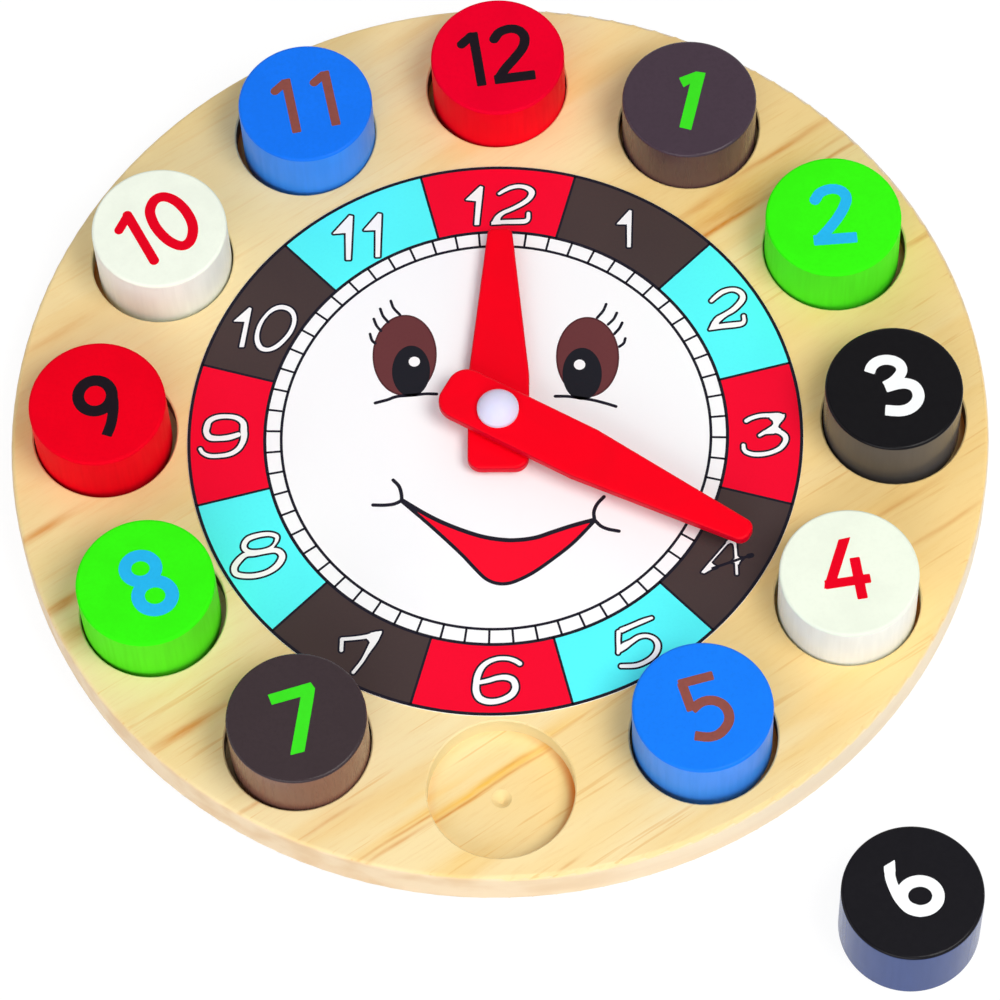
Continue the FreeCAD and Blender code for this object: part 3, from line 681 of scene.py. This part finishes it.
NUMERALS = {
    12: ((1.6, 64.5), [
        fill([(-8.45, 1.6), (-4.9, 5.35), (-4.35, 5.1), (-5.4, -5.6), (-6.3, -5.6), (-5.85, 1.25)]),
        stroke([(-0.2, 3.15, .35), (1.2, 4.1, .45), (3, 4.95, .5), (5, 5.2, .5), (6.9, 4.65, .6),
            (8, 3.4, .75), (7.3, 1.6, .6), (5.5, 0.1, .55), (3, -1.3, .5), (0.8, -2.35, .5),
            (-0.6, -3.6, .6), (-1.7, -5.2, .4)]),
        stroke([(-1.8, -5.15, .4), (1, -5, .55), (4, -5, .6), (6.2, -4.9, .6), (7, -4.2, .5),
            (7.1, -2.7, .45)]),
        fill([(-2.1, -5.6), (-0.8, -3.2), (0.4, -2.6), (-0.1, -4.2), (0.2, -5.5)]),
    ]),
    1: ((33.1, 57.2), [
        fill([(-2.2, 1.15), (0.9, 4.9), (1.35, 4.8), (0.95, -5.45), (0.3, -5.45), (0.35, 1.1)]),
    ]),
    2: ((57.7, 34), [
        stroke([(-3.8, 2, .4), (-2.6, 3.2, .5), (-0.9, 4.5, .55), (1.2, 5.1, .5), (2.9, 4.7, .6),
            (3.9, 3.6, .65), (3.9, 2.3, .7), (2.9, 0.8, .65), (1.4, -0.7, .6), (-0.6, -2, .55),
            (-2.4, -3.4, .75), (-3.7, -5.4, .5)]),
        stroke([(-3.9, -5.5, .45), (-1, -5.1, .65), (2, -4.8, .65), (3.6, -4.5, .55), (4.15, -3.7, .45),
            (4.1, -2.4, .4)]),
        fill([(-4.5, -6.1), (-3.6, -4), (-2.4, -3), (-2.2, -4.6), (-1, -5.6)]),
    ]),
    3: ((66.1, -1.5), [
        stroke([(-4.4, 3.9, .5), (-3.2, 4.6, .5), (-1, 5.25, .5), (1.5, 5.3, .55), (3.4, 5.2, .7),
            (4.5, 5, .5)]),
        fill([(4.9, 5.4), (4.6, 4.3), (3.5, 2.9), (3.1, 2), (1.2, 0.9), (1.6, 1.9), (2.3, 2.9),
            (2.2, 3.8), (1.4, 4.6), (2, 5.4)]),
        stroke([(-1.3, -0.2, .35), (0.4, 0.8, .5), (2.3, 1, .55), (3.8, 0.6, .6), (5, -0.6, .65),
            (4.9, -2.1, .6), (3.6, -3.8, .55), (1.4, -4.9, .5), (-0.8, -5.35, .55), (-3, -5.3, .55),
            (-4.6, -4.7, .5), (-5.2, -3.9, .5), (-5.3, -2.8, .45)]),
        fill([(-1.5, -0.2), (0.3, 1.2), (1.9, 2.3), (3.1, 2), (3.9, 1.3), (2.2, 0.4), (0.2, 0.3)]),
    ]),
    4: ((56, -34.2), [
        stroke([(-3.9, -1.6, .15), (-0.2, 2.9, .2), (0.4, 3.6, .4), (1, 3.9, .45), (1.9, 3.4, .4),
            (2.1, 2.4, .3), (2.2, 0.5, .3), (2.3, -4.9, .3)]),
        fill([(-6.1, -4.3), (-4, -1.6), (-3.5, -2.3), (-2.6, -3), (-3.8, -3.4), (-5.6, -4.5)]),
        fill([(1.3, -1.7), (2, -0.8), (2.2, 0.2), (2.9, -0.7), (3.7, -0.8), (3, -1.5), (2.7, -2.3),
            (2, -1.8)]),
        stroke([(5.3, -0.2), (6, 0)], .15),
    ]),
    5: ((33.9, -57), [
        stroke([(3.6, 6.5, .35), (1.5, 5.7, .5), (-1.2, 4.5, .5), (-3.6, 3.4, .6)]),
        stroke([(-4.4, 2.9, .5), (-4.5, 0.5, .45), (-4.4, -1.5, .5), (-4.6, -2.6, .35)]),
        stroke([(-4.5, -2.2, .4), (-3.2, -0.9, .8), (-1.4, 0.3, .55), (0.4, 1.5, .5), (2.3, 1.8, .45),
            (4, 1.1, .5), (4.9, -0.3, .6), (4.8, -2, .6), (3.8, -3.7, .55), (1.9, -5.1, .5),
            (-0.5, -6, .5), (-3.9, -6.1, .45)]),
    ]),
    6: ((0.2, -66.4), [
        stroke([(5.5, 4.4, .55), (4.3, 5.2, .55), (2.5, 5.8, .5), (0.2, 5.8, .5), (-2, 5, .55),
            (-3.6, 3.6, .65), (-4.6, 1.5, .75), (-5, -0.8, .75), (-5, -2.8, .8), (-4.2, -4.5, .8),
            (-2.4, -5.4, .75), (-0.2, -5.4, .7), (2, -4.7, .7), (3.7, -3.5, .75), (4.4, -1.8, .75),
            (3.9, 0, .75), (2.3, 0.8, .7), (0.2, 0.75, .6), (-2, 0.1, .55), (-4.2, -0.4, .5)]),
    ]),
    7: ((-33.2, -57.7), [
        stroke([(-4, 0), (-3.9, 2.8)], .45),
        stroke([(-3.9, 2.9, .45), (-1, 3.1, .45), (2, 3.5, .5), (4.5, 4.2, .6)]),
        stroke([(5.3, 4.5, .4), (3.9, 2.3, .75), (2.3, -0.6, .5), (1, -3, .4), (-1.1, -5.9, .4)]),
        fill([(5.6, 4.8), (4.8, 3.2), (3.6, 0.8), (2.6, 2.6), (2, 3.2), (3.2, 4.4)]),
    ]),
    8: ((-57.9, -31.9), [
        stroke([(-3.2, 2.8, .6), (-2.2, 4.4, .6), (0.2, 5.3, .55), (2.8, 5.6, .5), (4.6, 5, .5),
            (4.7, 3.9, .4), (4.1, 2.7, .3), (3, 1.5, .5), (0.8, 0.9, .5), (-1.6, 0.9, .5),
            (-2.9, 1.5, .6)], closed=True),
        stroke([(-2.8, 0.1, .6), (-4.6, -1.6, .7), (-5.5, -3.4, .7), (-5, -5, .65), (-2.8, -5.6, .6),
            (0, -5.5, .6), (2.8, -4.6, .6), (5, -2.9, .7), (6.1, -0.8, .75), (5.6, 0.6, .7),
            (4.2, 1.2, .6), (1.8, 0.8, .5), (-0.6, 0.3, .5)], closed=True),
    ]),
    9: ((-67, 0.5), [
        stroke([(4, 0.5, .6), (1.8, -0.2, .7), (-0.6, -0.45, .65), (-2.9, -0.2, .75), (-3.9, 1.2, .7),
            (-3.8, 2.8, .75), (-3.2, 4.4, .65), (-1.4, 5.4, .6), (1.2, 5.6, .55), (3.6, 5.1, .6),
            (5.1, 3.7, .7), (5.3, 1.6, .8), (5.4, 0, .75), (5, -1.8, .65), (3.9, -3.6, .6),
            (2, -4.8, .55), (-0.6, -5.25, .5), (-3, -5.2, .5), (-4.6, -4.4, .45), (-5.3, -3.3, .45)]),
    ]),
    10: ((-57.1, 30.1), [
        fill([(-7.45, 2.6), (-3.75, 6.25), (-3.35, 6), (-3.9, 2.5), (-5.05, -4.65), (-5.95, -4.65),
            (-4.75, 2.45)]),
        stroke([(4.2, 6.3, .6), (6.2, 5.6, .6), (7.3, 4, .55), (7.4, 1.8, .5), (6.6, -0.6, .5),
            (5.2, -2.7, .5), (3.2, -4.7, .55), (1.2, -5.6, .5), (-0.6, -5.2, .6), (-1.6, -3.4, .6),
            (-1.7, -1, .5), (-1, 1.6, .45), (0.4, 4, .4), (2.2, 5.7, .5)], closed=True),
    ]),
    11: ((-34, 56), [
        fill([(-6.1, 1.1), (-2.1, 6.05), (-1.45, 5.9), (-1.9, -6.4), (-2.8, -6.4), (-2.95, 1.3)]),
        fill([(1.6, 1.9), (5.1, 6.45), (5.75, 6.3), (5.4, -5.75), (4.55, -5.75), (4.55, 1.95)]),
    ]),
}
# The four's crossbar was inked over, so it is a dark line.
FOUR_CROSSBAR = [stroke([(-3.5, -3.3), (6.1, 0.1)], .35)]

# The face: half the widths of its lines, the width of an iris's dark edge, and its drawings.
LID_HALF = 0.4
LASH_HALF = 0.35
CHEEK_HALF = 0.45
UPPER_LIP_HALF = 0.55
LOWER_LIP_HALF = 0.45
IRIS_EDGE = 0.45
IRISES = [ellipse(-22.2, 22.3, 7.95, 11.3), ellipse(23.0, 20.9, 7.8, 11.2)]
PUPILS = [ellipse(-20.6, 17.8, 4.7, 7.1), ellipse(21.6, 16.2, 4.85, 7.25)]
GLINTS = [ellipse(-19.8, 20.4, 1.38, 1.38), ellipse(21.0, 18.75, 1.4, 1.4)]
LIDS = [
    [(-29.4, 9.1), (-26.5, 9.9), (-24, 10.8), (-20, 11.1), (-17, 11.4), (-14.3, 11.3)],
    [(14.9, 10.1), (18, 10), (21, 9.5), (24, 8.9), (27, 8), (29.8, 7)],
]
LASHES = [
    [(-25.7, 37.6), (-25, 35.6), (-23.4, 33.6)], [(-28.3, 35.4), (-27.6, 33.4), (-26.3, 31.6)],
    [(-29.9, 32.6), (-29.2, 30.7), (-28.1, 29.2)], [(-30.8, 28.4), (-30.3, 26.6), (-29.5, 25.7)],
    [(27.8, 35.6), (27, 33.7), (25.5, 31.8)], [(30.4, 33.1), (29.6, 31.4), (28.2, 29.9)],
    [(31.7, 30.3), (31, 28.8), (29.7, 27.2)], [(32.4, 25.9), (32, 24.6), (30.9, 23.6)],
]
CHEEKS = [
    [(-24.9, -12.2), (-23.5, -13.9), (-22.9, -16), (-22.8, -17.9)],
    [(-29.8, -18.9), (-27, -19), (-24.6, -18.7), (-22.8, -17.8)],
    [(26.5, -17.7), (24.8, -19.7), (24, -21.8), (24.1, -23.9)],
    [(24.1, -23.9), (25.6, -25.6), (27.4, -26.5), (30, -27.1)],
]
UPPER_LIP = [(-22.6, -17.8), (-20, -19.6), (-17, -21.6), (-13, -23.9), (-8, -26.2), (-3, -28),
             (2, -28.95), (6, -29), (10, -28.4), (14, -27), (19, -25.3), (24, -23.9)]
LOWER_LIP = [(-22.6, -18.2), (-18, -22.6), (-13, -27.6), (-8, -32.9), (-5, -36.5), (-2.5, -39.2),
             (0, -40.5), (2.5, -40.7), (5, -40), (9, -37.9), (14, -34.2), (19, -29.9),
             (23.5, -24.9), (24, -24.2)]


def print_on_dial(name, flat, top, look, middle=(0, 0)):
    """A film of print on the dial's sheet, drawn about a middle given from the dial's own."""
    at = (DIAL[0] + middle[0], DIAL[1] + middle[1])
    film(name, flat, at, DIAL_TOP + SUNK, DIAL_TOP + top, look, "board")


def make_dial_rings(ink, colours):
    """Twelve coloured fields, their borders, and the minute track with its sixty ticks."""
    rim = DIAL_RADIUS - RIM_INSET
    for hour in range(1, HOURS + 1):
        middle = hour * 360 / HOURS + SEGMENT_PHASE
        half = 180 / HOURS
        field = arc_band(TRACK_OUTER, rim - RIM_LINE / 2, middle - half, middle + half)
        print_on_dial(f"dial_field_{hour:02d}", field, COLOUR_TOP, colours[hour % len(colours)])
    borders = [bar(TRACK_OUTER, rim - RIM_LINE / 2, BORDER_HALF,
                   (hour + 0.5) * 360 / HOURS + SEGMENT_PHASE) for hour in range(HOURS)]
    lines = borders + [arc_band(rim - RIM_LINE, rim, 0, 360)]
    for radius, half in ((TRACK_OUTER, TRACK_OUTER_HALF), (TRACK_INNER, TRACK_INNER_HALF)):
        lines.append(arc_band(radius - half, radius + half, 0, 360, TRACK_CENTRE))
    ticks = [bar(TRACK_INNER, TRACK_OUTER, TICK_HALF, minute * 360 / MINUTES + TICK_PHASE, TRACK_CENTRE)
             for minute in range(MINUTES)]
    print_on_dial("dial_lines", joined(lines), INK_TOP, ink)
    print_on_dial("dial_minute_ticks", joined(ticks), INK_TOP, ink)


def make_dial_numerals(ink, white):
    """White numerals with a dark outline."""
    for hour, (middle, shapes) in NUMERALS.items():
        name = f"dial_numeral_{hour:02d}"
        print_on_dial(f"{name}_outline", cut_faces(shapes, NUMERAL_OUTLINE), INK_TOP, ink, middle)
        print_on_dial(name, cut_faces(shapes), WHITE_TOP, white, middle)
        if hour == 4:
            print_on_dial(f"{name}_crossbar", cut_faces(FOUR_CROSSBAR), OVER_WHITE, ink, middle)


def make_dial_face(ink, white):
    """A plain smiling face: eyes with lids and lashes, cheeks and an open mouth."""
    iris = make_print("print_iris", (106, 56, 58), (98, 50, 54))
    iris_edge = make_print("print_iris_edge", (84, 42, 46), (78, 40, 46))
    pupil = make_print("print_pupil", (32, 32, 39), (28, 28, 36))
    lips = make_print("print_lips", (250, 12, 45), (240, 12, 45))
    upper, lower = [smooth_line([(x, y, 0) for x, y in lip]) for lip in (UPPER_LIP, LOWER_LIP)]
    mouth = fill(np.vstack([upper, lower[::-1]]), 0)
    ink_lines = [stroke(line, half) for lines, half in (
        ([UPPER_LIP], UPPER_LIP_HALF), ([LOWER_LIP], LOWER_LIP_HALF), (LIDS, LID_HALF),
        (LASHES, LASH_HALF), (CHEEKS, CHEEK_HALF)) for line in lines]
    print_on_dial("dial_face_irises_edge", cut_faces(IRISES), COLOUR_TOP, iris_edge)
    print_on_dial("dial_face_irises", cut_faces(IRISES, -IRIS_EDGE), INK_TOP, iris)
    print_on_dial("dial_face_pupils", cut_faces(PUPILS), WHITE_TOP, pupil)
    print_on_dial("dial_face_glints", cut_faces(GLINTS), OVER_WHITE, white)
    print_on_dial("dial_face_mouth", cut_faces([mouth]), COLOUR_TOP, lips)
    print_on_dial("dial_face_lines", cut_faces(ink_lines), WHITE_TOP, ink)


def make_dial():
    ink = make_print("print_ink", (30, 28, 40), (36, 34, 44))
    white = make_print("print_white", (250, 249, 250), (244, 243, 246))
    red = make_print("print_red", (246, 6, 47), (238, 5, 43))
    brown = make_print("print_brown", (70, 57, 57), (77, 62, 60))
    cyan = make_print("print_cyan", (90, 250, 253), (84, 240, 246))
    make_dial_rings(ink, [red, brown, cyan])
    make_dial_numerals(ink, white)
    make_dial_face(ink, white)


# ---- The number blocks ----


def loop(x, y, across, up, half):
    """A closed round stroke."""
    turns = [2 * math.pi * index / LOOP_POINTS for index in range(LOOP_POINTS)]
    return stroke([(x + across * math.cos(t), y + up * math.sin(t)) for t in turns], half, closed=True)


def straight(start, end, half):
    """A straight stroke with flat ends."""
    return stroke([start, end], half, flat=(True, True))


BLOCK_NUMERALS = {
    12: [
        stroke([(-9, 3.6), (-6.7, 5.9)], 1.2), straight((-6.2, 7.1), (-3.9, -8.6), 1.2),
        stroke([(-0.8, 5), (0.5, 6.9), (2.9, 7.9), (5.3, 7.5), (6.7, 5.8), (6.8, 3.8), (6, 1.7),
            (4, -1.1), (2, -3.7), (0.5, -6.2)], 1.25),
        straight((-0.8, -6.9), (9.5, -5.6), 1.35),
    ],
    1: [fill([(-2.3, 5.8), (1.9, 7.5), (4.1, 7.1), (0.2, -9.1), (-2.5, -8.3), (0.5, 4.5), (-1.3, 3.3)])],
    2: [
        stroke([(-4.4, 4.6), (-3.1, 6.6), (-0.5, 7.65), (2.1, 7.1), (3.3, 5.1), (2.7, 2.6), (1.1, -0.4),
            (-1, -3.3), (-3.4, -6.2)], 1.35),
        straight((-5.1, -6.8), (5.6, -6.1), 1.45),
    ],
    3: [
        stroke([(-5.9, 4.2), (-5.2, 5.9), (-3.9, 7.1), (-2, 7.65), (0.2, 7.3), (1.7, 6.1), (1.95, 4.4),
            (0.9, 2.7), (-0.5, 1.4), (-2.2, 0.4)], 1.35, flat=(True, True)),
        stroke([(-2.2, 0.1), (0.5, 0.9), (2.8, 1.1), (4.9, 0.2), (5.8, -1.9), (5.3, -4), (3.6, -5.7),
            (1.2, -6.4), (-2.4, -6.1)], 1.45, flat=(True, True)),
    ],
    4: [
        fill([(-2.2, 8.5), (0.4, 9.1), (-3.2, -2.2), (-4.6, -4), (-6, -4.2), (-5.9, -3.2)]),
        straight((-5.9, -3.3), (5, -1.7), 1.2), straight((1.35, 3.8), (2.95, -7.1), 1.25),
    ],
    5: [
        straight((2.6, 8), (-5.6, 5.8), 1.15), straight((-4.9, 6.2), (-2.6, -1.1), 1.15),
        stroke([(-2.6, -0.9), (-0.4, 1), (2.2, 1.5), (4.6, 0.5), (6, -1.7), (5.9, -4.3), (4, -6.9),
            (1.4, -7.9), (-2.1, -7.5)], 1.2, flat=(True, True)),
    ],
    6: [
        loop(1.65, -1.05, 4.25, 3.75, 1.45),
        stroke([(-5.15, 5.4, 1.25), (-5.1, 3.8, 1.25), (-4.5, 1.5, 1.25), (-3.2, -1.5, 1.3),
            (-1.2, -3.8, 1.4), (1.5, -4.9, 1.4)]),
        fill([(-6.4, 6.4), (-4, 7.9), (-3.95, 5.2), (-5.2, 4.4), (-6.35, 5)]),
    ],
    7: [fill([(-6.6, 5.8), (3.3, 8.8), (4.3, 7.3), (4, 4.8), (2, -8.8), (-1.1, -9.6), (1.2, 5.4),
            (-5.7, 3.4)])],
    8: [loop(-1.2, 3.5, 3.75, 3.45, 1.5), loop(2.5, -3.75, 4.1, 3.8, 1.6)],
    9: [
        loop(-0.5, 1.95, 4.1, 4.2, 1.45),
        stroke([(3.75, 1.8), (4.05, -0.6), (3.95, -3.5), (3.5, -6.3), (2.6, -9)],
            1.3, flat=(False, True)),
    ],
    10: [
        stroke([(-9.9, -0.6), (-8, 3.2)], 1.15), stroke([(-7.9, 3.6), (-1, -9.3)], 1.25),
        stroke([(-2.35, 4.8), (-1.3, 7.7), (0.9, 8.7), (3.7, 7.6), (6.35, 4.8), (8.1, 1.3), (8.4, -1.7),
            (7.6, -4.3), (5.7, -5.3), (2.9, -4.1), (0.3, -1.5), (-1.5, 1.5)], 1.3, closed=True),
    ],
    11: [
        stroke([(-7.6, 3.4), (-5.6, 5.4)], 1.1), straight((-5, 6.9), (-1.9, -8.7), 1.15),
        stroke([(2.2, 5.7), (4.1, 7.6)], 1.1), straight((4.7, 9), (7.9, -6.8), 1.15),
    ],
}
# The paints of the numerals, the slot that each belongs to, and the paint of each hour.
NUMERAL_PAINTS = {
    "black": ((26, 17, 26), "paint_black"), "green": ((62, 226, 38), "paint_green"),
    "sky": ((38, 184, 240), "paint_blue"), "white": ((246, 249, 250), "paint_white"),
    "red": ((232, 6, 34), "paint_red"), "tan": ((141, 76, 68), "paint_brown"),
}
NUMERAL_FINISH = {
    12: "black", 1: "green", 2: "sky", 3: "white", 4: "red", 5: "tan",
    6: "white", 7: "green", 8: "sky", 9: "black", 10: "red", 11: "tan",
}


def make_block_numerals():
    """Each block's number, painted on its top through a stencil."""
    looks = {name: make_paint(f"numeral_{name}", colour, colour, *GLOSS[slot])
             for name, (colour, slot) in NUMERAL_PAINTS.items()}
    for hour, shapes in BLOCK_NUMERALS.items():
        block = f"number_block_{hour:02d}"
        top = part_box(block)[1].z / MM
        finish = NUMERAL_FINISH[hour]
        film(f"block_numeral_{hour:02d}", cut_faces(shapes), middle_of(block), top + SUNK, top + INK_TOP,
             looks[finish], f"block_{hour:02d}")


# ---- Camera, light and floor ----

# The camera, fitted to the photograph: place, degrees about Z, then X, then Z again, and lens.
CAMERA_PLACE = (0.02837, -0.58289, 1.14814)
CAMERA_TURN = (2.87, 26.38, -3.54)
CAMERA_LENS = 187.24
SENSOR = 36.0
CAMERA_NEAR = 0.05
AIM = Vector((0, 0, 0.01))  # what the lamps face
# Lamps: azimuth and elevation they shine from, distance, size, level on a facing surface, colour
LAMPS = {
    "key": (-35, 59, 1.2, 0.58, 0.62, (1.0, 0.985, 0.94)),
    "front_fill": (-102, 30, 1.6, 1.1, 0.43, (0.99, 0.99, 1.0)),
    "left_fill": (180, 35, 1.6, 1.0, 0.1, (0.95, 0.95, 1.0)),
    "back_fill": (80, 22, 1.8, 1.0, 0.1, (1.0, 1.0, 1.0)),
}
WORLD_LEVEL = 0.31
WORLD_COLOUR = (0.95, 0.95, 1.0, 1.0)
WALL_TOP = (0.35, 0.7)  # sines of the elevations over which the white wall ends
BELOW_LEVEL = 0.85      # world light from below, which the floor's openings let in
BELOW = (-0.05, 0.0)    # sines of the elevations over which it turns into the rest
FLOOR_RADIUS = 2.5
FLOOR_STEPS = 96        # points on the floor's outline, and on its openings'
# The floor is open under the board and the spare block, so that they can be seen from below.
BOARD_OPENING = BOARD_RADIUS - 2.5  # radii in mm
SPARE_OPENING = 15.5
FLOOR_WELD = 1e-7
FLOOR_CLEAR = (0.3, 0.9)            # radii between which the floor turns into plain white
FLOOR_GREY = 0.82                   # how pale the floor is to light that bounces off it
FLOOR_GLOW = 0.9                    # what the camera sees of it without any light
FLOOR_SHADE = 0.13                  # and how much light adds to that, where there is no shadow


def make_camera():
    data = bpy.data.cameras.new("camera")
    data.lens = CAMERA_LENS
    data.sensor_width = SENSOR
    data.sensor_fit = "HORIZONTAL"
    data.clip_start = CAMERA_NEAR
    camera = add_object("camera", data)
    turn = Matrix.Identity(4)
    for angle, axis in zip(CAMERA_TURN, "ZXZ"):
        turn = turn @ Matrix.Rotation(math.radians(angle), 4, axis)
    camera.matrix_world = Matrix.Translation(CAMERA_PLACE) @ turn
    bpy.context.scene.camera = camera


def make_lamps():
    """Soft square lamps; a lamp's level is what a white surface that faces it shows."""
    for name, (azimuth, elevation, distance, size, level, colour) in LAMPS.items():
        data = bpy.data.lights.new(name, "AREA")
        data.size = size
        data.color = colour
        data.energy = level * math.pi ** 2 * distance ** 2
        lamp = add_object(name, data)
        a, e = math.radians(azimuth), math.radians(elevation)
        out = Vector((math.cos(a) * math.cos(e), math.sin(a) * math.cos(e), math.sin(e)))
        lamp.location = AIM + out * distance
        lamp.rotation_euler = out.to_track_quat("Z", "Y").to_euler()


def make_world():
    """Even light from all round, behind a white wall that shows to the camera and in mirrors."""
    world = bpy.data.worlds.new("studio")
    bpy.context.scene.world = world
    world.use_nodes = True
    nodes = Nodes(world.node_tree)
    spot = nodes.add("TexCoord").outputs["Generated"]
    rise = nodes.add("SeparateXYZ", {0: spot}).outputs["Z"]
    ambient = world.node_tree.nodes["Background"]
    nodes.plug(ambient.inputs["Color"], WORLD_COLOUR)
    nodes.plug(ambient.inputs["Strength"], nodes.ramp(rise, *BELOW, BELOW_LEVEL, WORLD_LEVEL, "LINEAR"))
    wall = nodes.add("Background", {"Color": (1, 1, 1, 1)})
    camera_ray, bounced_ray = nodes.ray_kinds()
    mirrored = nodes.math("MULTIPLY", bounced_ray, nodes.ramp(rise, *WALL_TOP, 1.0, 0.0))
    seen = nodes.math("ADD", camera_ray, mirrored, clamp=True)
    chosen = nodes.add("MixShader", {0: seen, 1: ambient.outputs[0], 2: wall.outputs[0]})
    nodes.plug(world.node_tree.nodes["World Output"].inputs["Surface"], chosen.outputs[0])


def floor_faces():
    """The floor's points and triangles, with its two openings."""
    spare = Vector(middle_of("number_block_06")) * MM
    openings = [(Vector((0, 0)), BOARD_OPENING * MM), (spare, SPARE_OPENING * MM)]
    points, edges = [], []
    for middle, radius in [(Vector((0, 0)), FLOOR_RADIUS)] + openings:
        first = len(points)
        for step in range(FLOOR_STEPS):
            angle = 2 * math.pi * step / FLOOR_STEPS
            points.append(middle + radius * Vector((math.cos(angle), math.sin(angle))))
            edges.append((first + step, first + (step + 1) % FLOOR_STEPS))
    points, _, triangles, *_ = delaunay_2d_cdt(points, edges, [], 0, FLOOR_WELD)
    faces = []
    for triangle in triangles:
        centre = sum((points[index] for index in triangle), Vector((0, 0))) / 3
        if all((centre - middle).length > radius for middle, radius in openings):
            faces.append(list(triangle))
    return [(*point, 0) for point in points], faces


def make_floor_look():
    """Plain pale to bounced light; to the camera a glowing near-white that only shadows darken."""
    material = bpy.data.materials.new("pale_floor")
    material.use_nodes = True
    nodes = Nodes(material.node_tree)
    nodes.tree.nodes.remove(nodes.tree.nodes["Principled BSDF"])
    lit, shade = [nodes.add("BsdfDiffuse", {"Color": (grey, grey, grey, 1)}).outputs[0]
                  for grey in (FLOOR_GREY, FLOOR_SHADE)]
    glow, white = [nodes.add("Emission", {"Strength": level}).outputs[0] for level in (FLOOR_GLOW, 1.0)]
    near = nodes.add("AddShader", {0: shade, 1: glow}).outputs[0]
    spot = nodes.add("TexCoord").outputs["Object"]
    reach = nodes.add("VectorMath", {0: spot}, operation="LENGTH").outputs["Value"]
    shown = nodes.add("MixShader", {0: nodes.ramp(reach, *FLOOR_CLEAR), 1: near, 2: white}).outputs[0]
    seen = nodes.math("ADD", *nodes.ray_kinds(), clamp=True)
    chosen = nodes.add("MixShader", {0: seen, 1: lit, 2: shown}).outputs[0]
    nodes.plug(nodes.tree.nodes["Material Output"].inputs["Surface"], chosen)
    return material


def make_floor():
    """A pale floor that shows white where nothing shades it and keeps the clock's shadow."""
    floor = add_mesh("floor", *floor_faces(), make_floor_look())


bpy.context.scene.view_settings.view_transform = "Standard"
make_camera()
make_lamps()
make_world()
make_floor()
dress_frame()
make_dial()
make_block_numerals()
